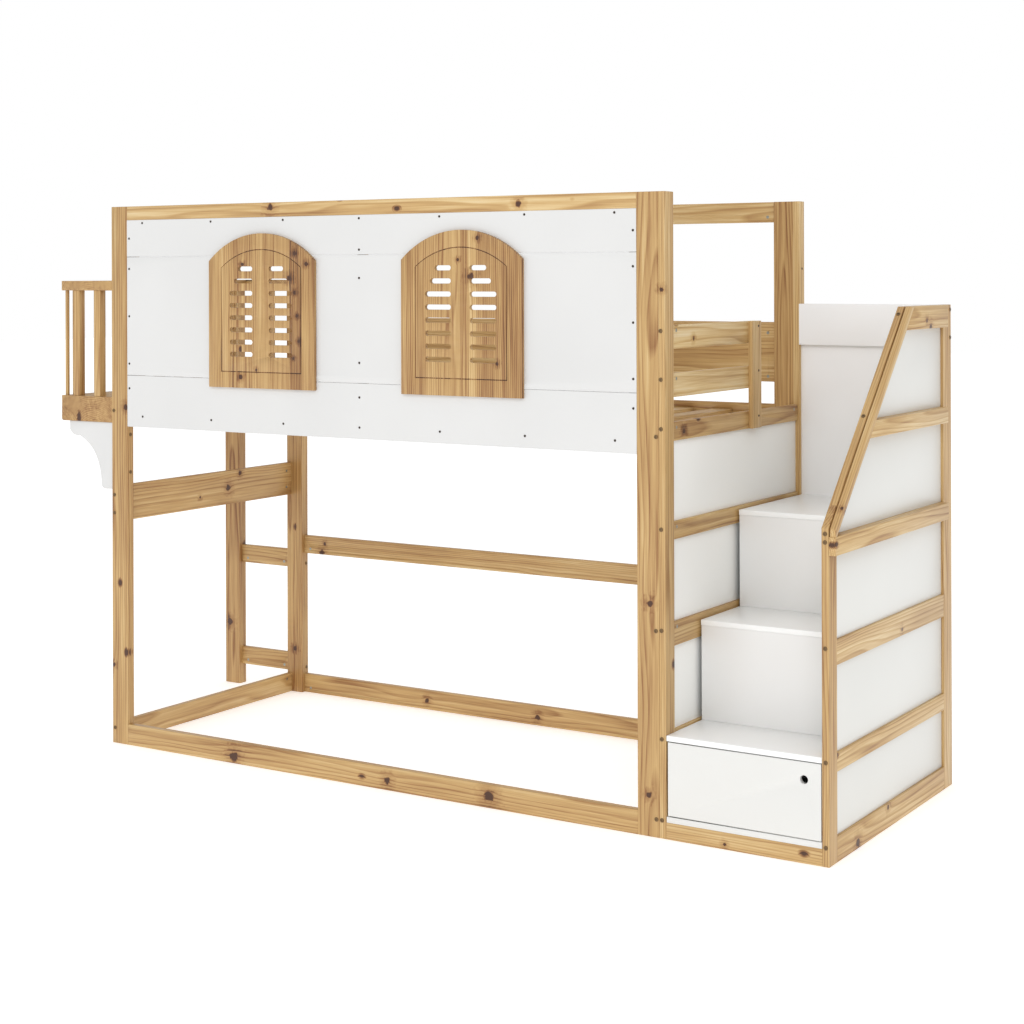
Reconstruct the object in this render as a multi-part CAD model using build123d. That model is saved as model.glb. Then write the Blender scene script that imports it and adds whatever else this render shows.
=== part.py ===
from build123d import *
import os

os.makedirs("parts", exist_ok=True)

# Loft bed with a front wall of panels, a balcony on the left end and a storage staircase on the right.
# Sizes are in millimetres. X runs along the bed to the right, Y from front to back, Z up.
# The pieces are placed from the outer front left corner of the bed, and moved to the centre when written.

# Bed frame
bed_length = 2032.0
bed_depth = 948.0
bed_height = 1767.0
post_width = 68.0
front_post_depth = 28.0
back_post_depth = 36.0
rail_thickness = 20.0
end_rail_thickness = 20.0
deck_end_rail_thickness = 16.0
front_side_rail_thickness = 16.0
floor_rail_height = 67.0
front_floor_rail_thickness = 24.0
back_top_rail_height = 64.0
mid_rail_height = 65.0
mid_rail_top = 578.0
right_mid_rail_height = 65.0
right_mid_rail_top = 597.0
deck_rail_height = 65.0
deck_drop = 639.0
left_wide_rail_height = 118.0
left_wide_rail_top = 847.0

# Deck
ledger_thickness = 20.0
ledger_height = 30.0
slat_thickness = 14.0
slat_width = 70.0
slat_count = 14
slat_side_clearance = 1.5
first_slat_offset = 14.0

# Front wall
panel_thickness = 12.0
panel_joint_gap = 1.0
top_panel_height = 121.0
mid_panel_height = 388.0
low_panel_height = 169.0
top_rail_face_height = 45.0
panel_lip_height = 25.0
batten_width = 30.0
window_spacing = 748.0
window_head_gap = 11.0
window_width = 300.0
window_height = 354.0

# Shutters
shutter_thickness = 12.0
shutter_width = 422.0
shutter_foot_lap = 49.0
shutter_side_height = 398.0
shutter_rise = 86.0
border_inset = 50.0
border_bottom_inset = 49.0
border_side_height = 328.0
border_rise = 58.0
border_groove_width = 3.0
border_groove_depth = 2.0
slot_height = 15.0
slot_pitch = 38.3
slot_head_gap = 29.5
slot_inner_end = 33.0
slot_outer_end = 124.5
second_slot_outer_end = 106.0
first_slot_outer_end = 90.0
slot_row_count = 8

# Guards
back_guard_height = 189.0
back_guard_lift = 259.0
end_guard_height = 66.0
upper_guard_lift = 272.0
lower_guard_lift = 139.0
guard_post_width = 63.0
guard_post_thickness = 14.0
guard_post_right = 608.0
guard_post_lap = 55.0

# Balcony
balcony_width = 230.0
trim_thickness = 20.0
trim_height = 84.0
trim_lift = 11.0
trim_corner_radius = 8.0
balcony_board_thickness = 18.0
balcony_board_count = 5
balcony_board_gap = 3.0
handrail_width = 32.0
handrail_height = 32.0
handrail_lift = 384.0
baluster_size = 27.0
front_baluster_pitch = 95.0
first_front_baluster = 70.0
side_baluster_count = 9
side_baluster_margin = 61.0
back_baluster_offset = 95.0
spindle_size = 10.0
balcony_cleat_size = 24.0
bracket_thickness = 18.0
bracket_setback = 5.0
bracket_reach = 198.0
bracket_drop = 220.0
support_post_width = 68.0
support_rail_height = 65.0
lower_support_rail_top = 138.0
upper_support_rail_top = 522.0

# Staircase
side_post_thickness = 20.0
inner_rail_thickness = 14.0
inner_front_post_depth = 52.0
inner_back_post_depth = 40.0
stair_width = 455.0
step_rise = 283.0
first_step_depth = 212.0
second_step_depth = 251.0
tread_thickness = 15.0
riser_setback = 3.0
riser_thickness = 15.0
stair_gap = 1.0
lower_stair_rail_top = 286.0
middle_stair_rail_top = 582.0
upper_stair_rail_top = 858.0
stair_rail_height = 49.0
middle_stair_rail_height = 66.0
inner_deck_rail_lift = 4.0
inner_deck_rail_height = 51.0
outer_front_post_depth = 54.0
outer_back_post_depth = 70.0
outer_guard_rail_lift = 14.0
outer_guard_rail_height = 46.0
outer_top_lift = 318.0
outer_top_rail_height = 66.0
outer_post_top = 880.0
slope_run = 556.0
slope_board_width = 60.0
outer_slope_board_width = 22.0
outer_layer_gap = 4.0
outer_layer_thickness = 16.0
outer_layer_setback = 10.0
white_panel_thickness = 6.0
white_panel_recess = 8.0
stair_floor_rail_height = 46.0
cabinet_floor_thickness = 16.0
back_panel_thickness = 12.0
back_panel_cleat_size = 16.0
top_board_height = 128.0
top_board_thickness = 16.0
tread_cleat_height = 26.0
tread_cleat_width = 18.0

# Cabinet door
door_thickness = 15.0
door_gap = 3.0
door_side_gap = 5.0
door_edge_radius = 1.5
pivot_radius = 3.0
pivot_inset = 8.0
pivot_clearance = 0.08
pivot_seat = 8.0
pivot_play = 0.5
pin_grip = 16.0
finger_hole_radius = 11.5
finger_hole_inset = 48.0
finger_hole_drop = 46.0
door_stop_size = 15.0

# Fasteners
bolt_head_radius = 6.0
bolt_head_height = 2.0
bolt_shank_radius = 3.0
bolt_hole_clearance = 0.2
bolt_edge_inset = 15.0
bolt_tip = 8.0
nut_radius = 5.0
nut_length = 12.0
nut_inset = 28.0
nut_edge_inset = 17.0
screw_head_radius = 3.5
screw_head_height = 0.8
screw_shank_radius = 1.6
screw_grip = 20.0
row_screw_count = 7
row_screw_margin = 68.0
row_screw_drop = 10.5
column_screw_inset = 10.0
post_screw_drop = 211.0

# Places worked out from the sizes above
wall_middle = bed_length / 2
right_post_left = bed_length - post_width
back_rail_front = bed_depth - rail_thickness
back_post_front = bed_depth - back_post_depth
panel_top = bed_height - top_rail_face_height
mid_panel_top = panel_top - top_panel_height
low_panel_top = mid_panel_top - mid_panel_height
panel_bottom = low_panel_top - low_panel_height
front_side_rail_back = panel_thickness + front_side_rail_thickness
deck_rail_top = bed_height - deck_drop
deck_rail_bottom = deck_rail_top - deck_rail_height
slat_bottom = deck_rail_bottom + ledger_height
window_bottom = mid_panel_top - window_head_gap - window_height
shutter_bottom = window_bottom - shutter_foot_lap
slot_top_row = mid_panel_top - window_head_gap - slot_head_gap
back_guard_top = deck_rail_top + back_guard_lift
upper_guard_top = deck_rail_top + upper_guard_lift
lower_guard_top = deck_rail_top + lower_guard_lift
window_left = wall_middle - window_spacing / 2
window_right = wall_middle + window_spacing / 2
balcony_left = -balcony_width
trim_top = deck_rail_top + trim_lift
trim_bottom = trim_top - trim_height
trim_inner = balcony_left + trim_thickness
back_trim_front = bed_depth - trim_thickness
handrail_top = trim_top + handrail_lift
handrail_bottom = handrail_top - handrail_height
stair_left = bed_length + side_post_thickness
stair_right = stair_left + stair_width
side_face = stair_right + side_post_thickness
outer_layer_left = side_face + outer_layer_gap
outer_face = outer_layer_left + outer_layer_thickness
inner_face = bed_length + inner_rail_thickness
inner_frame_back = bed_depth - inner_back_post_depth
outer_frame_back = bed_depth - outer_back_post_depth
post_screw_height = bed_height - post_screw_drop
back_panel_front = bed_depth - back_panel_cleat_size - back_panel_thickness
cabinet_floor_top = stair_floor_rail_height + cabinet_floor_thickness
riser_two_front = first_step_depth
riser_three_front = first_step_depth + second_step_depth
support_left = balcony_left - support_post_width
outer_top = deck_rail_top + outer_top_lift
slope_rise = outer_top - outer_post_top
lower_stair_rail = (lower_stair_rail_top - stair_rail_height, lower_stair_rail_top)
middle_stair_rail = (middle_stair_rail_top - middle_stair_rail_height, middle_stair_rail_top)
upper_stair_rail = (upper_stair_rail_top - stair_rail_height, upper_stair_rail_top)
inner_deck_rail_top = deck_rail_top + inner_deck_rail_lift
inner_deck_rail = (inner_deck_rail_top - inner_deck_rail_height, inner_deck_rail_top)
outer_guard_rail_top = deck_rail_top + outer_guard_rail_lift
outer_guard_rail = (outer_guard_rail_top - outer_guard_rail_height, outer_guard_rail_top)
outer_top_rail = (outer_top - outer_top_rail_height, outer_top)
centre_x = (support_left - bolt_head_height + outer_face) / 2
centre_y = (bed_depth + bolt_head_height - shutter_thickness) / 2

into_back = (0, 1, 0)
into_front = (0, -1, 0)
into_right = (1, 0, 0)
into_left = (-1, 0, 0)


def block(x0, x1, y0, y1, z0, z1):
    # A board given by its two opposite corners
    middle = Pos((x0 + x1) / 2, (y0 + y1) / 2, (z0 + z1) / 2)
    return middle * Box(x1 - x0, y1 - y0, z1 - z0)


def rod(point, direction, radius, length):
    # A round bar from a point along a direction
    plane = Plane(origin=point, z_dir=direction)
    return plane * Cylinder(radius, length, align=(Align.CENTER, Align.CENTER, Align.MIN))


# Each fastener is its place on the wood's face, the way it goes in, and how deep it goes
headed_bolts = []
flush_bolts = []
barrel_nuts = []
small_screws = []


def join_end_rail(bolt_x, nut_x, nut_way, heights, front_depth, back_depth):
    # Bolts through a front and a back post into the ends of a rail that runs front to back
    for z in heights:
        if front_depth:
            headed_bolts.append(((bolt_x, 0, z), into_back, front_depth + nut_inset + bolt_tip))
            barrel_nuts.append(((nut_x, front_depth + nut_inset, z), nut_way, nut_length))
        if back_depth:
            headed_bolts.append(((bolt_x, bed_depth, z), into_front, back_depth + nut_inset + bolt_tip))
            barrel_nuts.append(((nut_x, bed_depth - back_depth - nut_inset, z), nut_way, nut_length))


def join_long_rail(bolt_y, nut_y, nut_way, heights):
    # Bolts sunk into the outer sides of the posts, into the ends of a rail that runs left to right
    grip = post_width + nut_inset + bolt_tip
    for z in heights:
        flush_bolts.append(((0, bolt_y, z), into_right, grip))
        flush_bolts.append(((bed_length, bolt_y, z), into_left, grip))
        barrel_nuts.append(((post_width + nut_inset, nut_y, z), nut_way, nut_length))
        barrel_nuts.append(((right_post_left - nut_inset, nut_y, z), nut_way, nut_length))


floor_bolt = floor_rail_height - nut_edge_inset
wide_rail_bolts = [left_wide_rail_top - left_wide_rail_height / 4, left_wide_rail_top - left_wide_rail_height * 3 / 4]
deck_bolt = (deck_rail_bottom + deck_rail_top) / 2
right_mid_bolt = right_mid_rail_top - right_mid_rail_height / 2
right_rail_left = bed_length - end_rail_thickness
left_bolt_x = end_rail_thickness / 2
right_bolt_x = bed_length - end_rail_thickness / 2
deck_bolt_x = deck_end_rail_thickness / 2
join_end_rail(left_bolt_x, end_rail_thickness, into_left, [floor_bolt] + wide_rail_bolts,
              front_post_depth, back_post_depth)
join_end_rail(deck_bolt_x, deck_end_rail_thickness, into_left, [deck_bolt], front_post_depth, back_post_depth)
join_end_rail(right_bolt_x, right_rail_left, into_right, [floor_bolt, right_mid_bolt],
              front_post_depth, back_post_depth)
join_end_rail(bed_length - deck_bolt_x, bed_length - deck_end_rail_thickness, into_right, [deck_bolt],
              front_post_depth, back_post_depth)

# The side frames of the stairs
stair_bolts = [floor_bolt] + [rail[1] - bolt_edge_inset for rail in (lower_stair_rail, middle_stair_rail,
                                                                    upper_stair_rail)]
inner_bolt_x = bed_length + inner_rail_thickness / 2
guard_bolts = [upper_guard_top - bolt_edge_inset, lower_guard_top - bolt_edge_inset]
inner_deck_bolt = inner_deck_rail_top - bolt_edge_inset
join_end_rail(inner_bolt_x, inner_face, into_left, stair_bolts + [inner_deck_bolt],
              inner_front_post_depth, inner_back_post_depth)
join_end_rail(inner_bolt_x, inner_face, into_left, guard_bolts, inner_front_post_depth, 0)
outer_bolt_x = stair_right + side_post_thickness / 2
join_end_rail(outer_bolt_x, stair_right, into_right, stair_bolts, outer_front_post_depth, outer_back_post_depth)
outer_high_bolts = [rail[1] - bolt_edge_inset for rail in (outer_guard_rail, outer_top_rail)]
join_end_rail(outer_bolt_x, stair_right, into_right, outer_high_bolts, 0, outer_back_post_depth)
slope_foot_bolt = outer_post_top - bolt_edge_inset
headed_bolts.append(((outer_bolt_x, 0, slope_foot_bolt), into_back, outer_front_post_depth + nut_inset))

# The long rails
back_bolt_y = bed_depth - rail_thickness / 2
back_rail_bottoms = [0, mid_rail_top - mid_rail_height, deck_rail_bottom, back_guard_top - back_guard_height,
                     bed_height - back_top_rail_height]
back_bolt_heights = [bottom + nut_edge_inset for bottom in back_rail_bottoms]
back_bolt_heights.append(back_guard_top - nut_edge_inset * 2)
join_long_rail(back_bolt_y, back_rail_front, into_back, back_bolt_heights)
join_long_rail(front_floor_rail_thickness / 2, front_floor_rail_thickness, into_front, [nut_edge_inset])
join_long_rail(front_side_rail_back - front_side_rail_thickness / 2, front_side_rail_back, into_front,
               [deck_rail_bottom + nut_edge_inset])
join_long_rail(front_post_depth / 2, front_post_depth, into_front, [bed_height - nut_edge_inset])

# The rails under the balcony, and the bracket
for rail_top in (lower_support_rail_top, upper_support_rail_top):
    height = rail_top - support_rail_height + nut_edge_inset
    headed_bolts.append(((support_left, back_bolt_y, height), into_right,
                         support_post_width + nut_inset + bolt_tip))
    headed_bolts.append(((post_width, back_bolt_y, height), into_left, post_width + nut_inset + bolt_tip))
    barrel_nuts.append(((balcony_left + nut_inset, back_rail_front, height), into_back, nut_length))
    barrel_nuts.append(((-nut_inset, back_rail_front, height), into_back, nut_length))
bracket_middle = bracket_setback + bracket_thickness / 2
bracket_bolts = [trim_bottom - bracket_drop * share for share in (0.17, 0.73)]
for height in bracket_bolts:
    headed_bolts.append(((post_width, bracket_middle, height), into_left, post_width + nut_inset + bolt_tip))

# Screws through the front wall, the guard post and the inner posts
batten_screws = [post_width + column_screw_inset, wall_middle, right_post_left - column_screw_inset]
side_column = [panel_top - top_panel_height / 2, low_panel_top - low_panel_height / 4]
side_column += [low_panel_top + mid_panel_height * share for share in (0.1, 0.5, 0.9)]
middle_column = [mid_panel_top + row_screw_drop * 1.5, low_panel_top - low_panel_height / 4]
middle_column += [low_panel_top + mid_panel_height * share for share in (0.16, 0.82)]
row_screw_start = post_width + row_screw_margin
row_screw_step = (bed_length - 2 * row_screw_start) / (row_screw_count - 1)
for number in range(row_screw_count):
    row_x = row_screw_start + row_screw_step * number
    small_screws.append(((row_x, 0, panel_top - row_screw_drop), into_back, screw_grip))
    small_screws.append(((row_x, 0, deck_rail_bottom + nut_edge_inset), into_back, screw_grip))
for column_x, column in zip(batten_screws, (side_column, middle_column, side_column)):
    small_screws += [((column_x, 0, z), into_back, screw_grip) for z in column]
guard_post_outer = inner_face + guard_post_thickness
guard_post_left = guard_post_right - guard_post_width
guard_screw_y = guard_post_right - column_screw_inset * 2
for height in guard_bolts + [inner_deck_bolt]:
    small_screws.append(((guard_post_outer, guard_screw_y, height), into_left, screw_grip))
small_screws.append(((stair_left, bed_depth - back_post_depth / 2, post_screw_height), into_left, screw_grip * 2))

# Bolts square to the slope, into the rails behind it, and bolts into the cleats of the back panel
slope_length = (slope_run ** 2 + slope_rise ** 2) ** 0.5
slope_along = Vector(0, slope_run / slope_length, slope_rise / slope_length)
slope_inwards = Vector(0, slope_along.Z, -slope_along.Y)
for rail in (outer_guard_rail, outer_top_rail):
    reach = ((rail[0] + rail[1]) / 2 - outer_post_top) / slope_along.Z + slope_board_width * 0.8
    spot = Vector(outer_bolt_x, 0, outer_post_top) + slope_along * min(reach, slope_length - bolt_edge_inset * 2)
    headed_bolts.append((tuple(spot), tuple(slope_inwards), slope_board_width + bolt_edge_inset))
cleat_bolt_y = bed_depth - back_panel_cleat_size / 2
for height in (outer_top - bolt_edge_inset, outer_top - outer_top_rail_height * 1.5):
    headed_bolts.append(((side_face, cleat_bolt_y, height), into_left, side_post_thickness + bolt_tip))


def with_holes(shape, fasteners, radius):
    # The piece with a hole for every fastener that reaches it
    box = shape.bounding_box()
    for place, direction, length in fasteners:
        start = Vector(*place)
        tip = start + Vector(*direction) * length
        low = [min(a, b) - radius for a, b in zip(tuple(start), tuple(tip))]
        high = [max(a, b) + radius for a, b in zip(tuple(start), tuple(tip))]
        apart = [l > m or h < n for l, h, n, m in zip(low, high, tuple(box.min), tuple(box.max))]
        if not any(apart):
            shape = shape - rod(place, direction, radius, length)
    return shape


def drilled(shape):
    shape = with_holes(shape, headed_bolts + flush_bolts, bolt_shank_radius + bolt_hole_clearance)
    shape = with_holes(shape, barrel_nuts, nut_radius)
    return with_holes(shape, small_screws, screw_shank_radius)


def save(name, *shapes):
    # One file for a piece, or for like pieces as separate solids, moved to the centre
    moved = [Pos(-centre_x, -centre_y, 0) * drilled(shape) for shape in shapes]
    if len(moved) == 1:
        export_step(moved[0], "parts/" + name + ".step")
    else:
        export_step(Compound(children=moved), "parts/" + name + ".step")


def save_fasteners(name, shapes):
    moved = [Pos(-centre_x, -centre_y, 0) * shape for shape in shapes]
    export_step(Compound(children=moved), "parts/" + name + ".step")


def bolt(place, direction, length):
    # A shallow rounded head on the face, and a round shank
    outwards = Vector(*direction) * -1
    head = rod(place, outwards, bolt_head_radius, bolt_head_height)
    rim = head.edges().filter_by(GeomType.CIRCLE).sort_by_distance(Vector(*place) + Vector(*direction))[-1]
    head = fillet(rim, bolt_head_height * 0.7)
    return head + rod(place, direction, bolt_shank_radius, length)


def barrel_nut(place, direction, length):
    nut = rod(place, direction, nut_radius, length)
    return with_holes(nut, headed_bolts + flush_bolts, bolt_shank_radius + bolt_hole_clearance)


def screw(place, direction, length):
    outwards = Vector(*direction) * -1
    return rod(place, outwards, screw_head_radius, screw_head_height) + rod(place, direction,
                                                                            screw_shank_radius, length)


# Corner posts
save("front_left_post", block(0, post_width, 0, front_post_depth, 0, bed_height))
save("front_right_post", block(right_post_left, bed_length, 0, front_post_depth, 0, bed_height))
save("back_left_post", block(0, post_width, back_post_front, bed_depth, 0, bed_height))
save("back_right_post", block(right_post_left, bed_length, back_post_front, bed_depth, 0, bed_height))


# Rails between the left and right posts
def long_rail(y0, y1, z0, z1):
    return block(post_width, right_post_left, y0, y1, z0, z1)


top_rail = long_rail(0, front_post_depth, panel_top, bed_height)
top_rail_lip = long_rail(panel_thickness, front_post_depth, panel_top - panel_lip_height, panel_top)
save("front_top_rail", top_rail + top_rail_lip)
save("back_top_rail", long_rail(back_rail_front, bed_depth, bed_height - back_top_rail_height, bed_height))
save("front_side_rail", long_rail(panel_thickness, front_side_rail_back, deck_rail_bottom, deck_rail_top))
save("back_side_rail", long_rail(back_rail_front, bed_depth, deck_rail_bottom, deck_rail_top))
save("front_floor_rail", long_rail(0, front_floor_rail_thickness, 0, floor_rail_height))
save("back_floor_rail", long_rail(back_rail_front, bed_depth, 0, floor_rail_height))
save("back_mid_rail", long_rail(back_rail_front, bed_depth, mid_rail_top - mid_rail_height, mid_rail_top))
save("back_guard_board", long_rail(back_rail_front, bed_depth, back_guard_top - back_guard_height, back_guard_top))


# Rails across the two ends, between the front and back posts
def end_rail(x0, x1, z0, z1):
    return block(x0, x1, front_post_depth, back_post_front, z0, z1)


save("end_floor_rails", end_rail(0, end_rail_thickness, 0, floor_rail_height),
     end_rail(right_rail_left, bed_length, 0, floor_rail_height))
save("left_wide_rail", end_rail(0, end_rail_thickness, left_wide_rail_top - left_wide_rail_height,
                                left_wide_rail_top))
save("end_deck_rails", end_rail(0, deck_end_rail_thickness, deck_rail_bottom, deck_rail_top),
     end_rail(bed_length - deck_end_rail_thickness, bed_length, deck_rail_bottom, deck_rail_top))
save("right_mid_rail", end_rail(right_rail_left, bed_length, right_mid_rail_top - right_mid_rail_height,
                                right_mid_rail_top))

# Ledgers and slats of the deck
save("slat_ledgers",
     long_rail(front_side_rail_back, front_side_rail_back + ledger_thickness, deck_rail_bottom, slat_bottom),
     long_rail(back_rail_front - ledger_thickness, back_rail_front, deck_rail_bottom, slat_bottom))
slat_front = front_side_rail_back + slat_side_clearance
slat_back = back_rail_front - slat_side_clearance
slat_start = post_width + first_slat_offset
slat_step = (bed_length - 2 * slat_start - slat_width) / (slat_count - 1)
slats = []
for number in range(slat_count):
    slat_left = slat_start + slat_step * number
    slats.append(block(slat_left, slat_left + slat_width, slat_front, slat_back,
                       slat_bottom, slat_bottom + slat_thickness))
save("deck_slats", *slats)


# White front panels, the middle one with two window openings, and the battens behind them
def wall_panel(z0, z1):
    return long_rail(0, panel_thickness, z0 + panel_joint_gap, z1)


middle_panel = wall_panel(low_panel_top, mid_panel_top)
for centre in (window_left, window_right):
    middle_panel -= block(centre - window_width / 2, centre + window_width / 2, 0, panel_thickness,
                          window_bottom, window_bottom + window_height)
save("top_front_panel", wall_panel(mid_panel_top, panel_top))
save("middle_front_panel", middle_panel)
save("low_front_panel", wall_panel(panel_bottom, low_panel_top))
battens = []
for middle in (post_width + batten_width / 2, wall_middle, right_post_left - batten_width / 2):
    battens.append(block(middle - batten_width / 2, middle + batten_width / 2, panel_thickness,
                         front_side_rail_back, deck_rail_top, panel_top - panel_lip_height))
save("panel_battens", *battens)


# Arched shutters with a carved border line and two columns of slots
def arch(width, side_height, rise, bottom):
    # Outline with a flat foot, upright sides and a shallow arched head
    half = width / 2
    shoulder = bottom + side_height
    foot = Polyline((-half, shoulder), (-half, bottom), (half, bottom), (half, shoulder))
    head = ThreePointArc((half, shoulder), (0, shoulder + rise), (-half, shoulder))
    return make_face([foot, head])


def shutter(centre):
    front = Plane(origin=(centre, -shutter_thickness, 0), x_dir=(1, 0, 0), z_dir=(0, -1, 0))
    outline = arch(shutter_width, shutter_side_height, shutter_rise, shutter_bottom)
    board = extrude(front * outline, amount=-shutter_thickness)
    border_width = shutter_width - 2 * border_inset
    border_bottom = shutter_bottom + border_bottom_inset
    outer_line = arch(border_width, border_side_height, border_rise, border_bottom)
    inner_line = arch(border_width - 2 * border_groove_width, border_side_height - border_groove_width,
                      border_rise - border_groove_width, border_bottom + border_groove_width)
    board -= extrude(front * (outer_line - inner_line), amount=-border_groove_depth)
    for row in range(slot_row_count):
        outer_end = slot_outer_end
        if row == 0:
            outer_end = first_slot_outer_end
        if row == 1:
            outer_end = second_slot_outer_end
        middle = (slot_inner_end + outer_end) / 2
        length = outer_end - slot_inner_end
        for side in (-1, 1):
            slot = Pos(side * middle, slot_top_row - slot_pitch * row) * SlotOverall(length, slot_height)
            board -= extrude(front * slot, amount=-shutter_thickness)
    return board


save("left_shutter", shutter(window_left))
save("right_shutter", shutter(window_right))


# Guards at the stair end: two boards and the upright at the entry gap
def end_guard(top):
    return block(bed_length, inner_face, inner_front_post_depth, guard_post_left + guard_post_lap,
                 top - end_guard_height, top)


save("end_guards", end_guard(upper_guard_top), end_guard(lower_guard_top))
save("guard_post", block(inner_face, guard_post_outer, guard_post_left, guard_post_right,
                         inner_deck_rail[0], upper_guard_top))

# Inner side frame of the stairs, against the bed's right end
save("inner_front_post", block(bed_length, stair_left, 0, inner_front_post_depth, 0, bed_height))
save("inner_back_post", block(bed_length, stair_left, inner_frame_back, bed_depth, 0, bed_height))
inner_spans = [(0, floor_rail_height), lower_stair_rail, middle_stair_rail, upper_stair_rail, inner_deck_rail]
inner_rails = [block(bed_length, inner_face, inner_front_post_depth, inner_frame_back, low, high)
               for low, high in inner_spans]
save("inner_side_rails", *inner_rails)
inner_panels = [block(bed_length, bed_length + white_panel_thickness, inner_front_post_depth, inner_frame_back,
                      below[1], above[0]) for below, above in zip(inner_spans[:-1], inner_spans[1:])]
save("inner_side_panels", *inner_panels)


# Balcony trims with a rounded outer lower corner, floor boards and cleats
def short_trim(y0, y1):
    trim = block(balcony_left, 0, y0, y1, trim_bottom, trim_top)
    corner = trim.edges().filter_by(Axis.Y).group_by(Axis.X)[0].sort_by(Axis.Z)[0]
    return fillet(corner, trim_corner_radius)


save("balcony_trims", short_trim(0, trim_thickness), short_trim(back_trim_front, bed_depth),
     block(balcony_left, trim_inner, trim_thickness, back_trim_front, trim_bottom, trim_top))
board_span = (-trim_inner - balcony_board_gap * (balcony_board_count - 1)) / balcony_board_count
board_bottom = trim_top - balcony_board_thickness
floor_boards = []
for number in range(balcony_board_count):
    board_left = trim_inner + (board_span + balcony_board_gap) * number
    floor_boards.append(block(board_left, board_left + board_span, trim_thickness, back_trim_front,
                              board_bottom, trim_top))
save("balcony_floor_boards", *floor_boards)
save("balcony_cleats",
     block(-balcony_cleat_size, 0, trim_thickness, back_trim_front, board_bottom - balcony_cleat_size, board_bottom),
     block(trim_inner, trim_inner + balcony_cleat_size, trim_thickness, back_trim_front,
           board_bottom - balcony_cleat_size, board_bottom))

# Balcony handrails, square balusters and a slim spindle at the front corner
back_handrail_front = bed_depth - handrail_width
save("balcony_handrails", block(balcony_left, 0, 0, handrail_width, handrail_bottom, handrail_top),
     block(balcony_left, 0, back_handrail_front, bed_depth, handrail_bottom, handrail_top),
     block(balcony_left, balcony_left + handrail_width, handrail_width, back_handrail_front,
           handrail_bottom, handrail_top))


def baluster(x, y, size):
    half = size / 2
    return block(x - half, x + half, y - half, y + half, trim_top, handrail_bottom)


rail_middle = handrail_width / 2
baluster_places = [(-first_front_baluster - front_baluster_pitch * number, rail_middle) for number in range(2)]
side_step = (bed_depth - 2 * side_baluster_margin - baluster_size) / (side_baluster_count - 1)
for number in range(side_baluster_count):
    baluster_places.append((balcony_left + rail_middle, side_baluster_margin + side_step * number))
baluster_places.append((-back_baluster_offset, bed_depth - rail_middle))
balusters = [baluster(x, y, baluster_size) for x, y in baluster_places]
balusters.append(baluster(balcony_left + rail_middle, rail_middle - spindle_size / 2, spindle_size))
save("balusters", *balusters)


# Scroll bracket under the balcony, against the front left post
def bracket():
    plane = Plane(origin=(0, bracket_setback, trim_bottom), x_dir=(1, 0, 0), z_dir=(0, -1, 0))
    reach = bracket_reach
    drop = bracket_drop
    nose = (-reach, -drop * 0.13)
    belly = (-reach * 0.78, -drop * 0.22)
    waist = (-reach * 0.40, -drop * 0.5)
    heel = (-reach * 0.27, -drop * 0.94)
    foot = (-reach * 0.20, -drop)
    top = Polyline((0, -drop), (0, 0), (-reach, 0), nose)
    round_nose = ThreePointArc(nose, (-reach * 0.94, -drop * 0.19), belly)
    sweep_in = Spline(belly, (-reach * 0.58, -drop * 0.32), waist, (-reach * 0.30, -drop * 0.73), heel)
    round_heel = ThreePointArc(heel, (-reach * 0.25, -drop * 0.98), foot)
    outline = make_face([top, round_nose, sweep_in, round_heel, Line(foot, (0, -drop))])
    return extrude(plane * outline, amount=-bracket_thickness)


save("balcony_bracket", bracket())

# Post and cross rails that hold up the balcony at the back
save("support_post", block(support_left, balcony_left, back_post_front, bed_depth, 0, handrail_top))
support_rails = [block(balcony_left, 0, back_rail_front, bed_depth, top - support_rail_height, top)
                 for top in (lower_support_rail_top, upper_support_rail_top)]
save("support_rails", *support_rails)


# Outer side frame of the stairs
def above_slope(x0, x1, offset):
    # The space in front of and above the sloping line, moved in across the slope by an offset
    foot = Vector(0, 0, outer_post_top) + slope_inwards * offset
    low = foot - slope_along * bed_height
    high = foot + slope_along * bed_height
    outwards = slope_inwards * -bed_height
    corners = [low, high, high + outwards, low + outwards]
    plane = Plane(origin=(x0, 0, 0), x_dir=(0, 1, 0), z_dir=(1, 0, 0))
    face = make_face(Polyline([(corner.Y, corner.Z) for corner in corners], close=True))
    return extrude(plane * face, amount=x1 - x0)


def frame_piece(y0, low, high, offset):
    # A piece of the outer frame, cut off along the slope
    piece = block(stair_right, side_face, y0, outer_frame_back, low, high)
    return piece - above_slope(stair_right, side_face, offset)


def raised_face(low, high, offset, front):
    # The thicker outer part of a rail, which stands out over the back post
    piece = block(side_face, outer_face, front, outer_frame_back - outer_layer_setback, low, high)
    return piece - above_slope(side_face, outer_face, offset)


outer_post = block(stair_right, side_face, 0, outer_front_post_depth, 0, bed_height)
save("outer_front_post", outer_post - above_slope(stair_right, side_face, 0))
save("outer_back_post", block(stair_right, side_face, outer_frame_back, bed_depth, 0, outer_top))
slope_beam = frame_piece(outer_front_post_depth, 0, outer_top, 0)
save("inner_slope_board", slope_beam & above_slope(stair_right, side_face, slope_board_width))
outer_beam = block(outer_layer_left, outer_face, 0, outer_frame_back, upper_stair_rail_top, outer_top)
outer_beam -= above_slope(outer_layer_left, outer_face, 0)
save("outer_slope_board", outer_beam & above_slope(outer_layer_left, outer_face, outer_slope_board_width))
outer_low_rails = [frame_piece(outer_front_post_depth, low, high, slope_board_width)
                   for low, high in ((0, floor_rail_height), lower_stair_rail, middle_stair_rail)]
save("outer_side_rails", *outer_low_rails)
upper_rail = frame_piece(outer_front_post_depth, *upper_stair_rail, slope_board_width)
upper_face = block(side_face, outer_face, 0, outer_frame_back - outer_layer_setback, *upper_stair_rail)
save("outer_upper_rail", upper_rail + upper_face)
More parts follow.
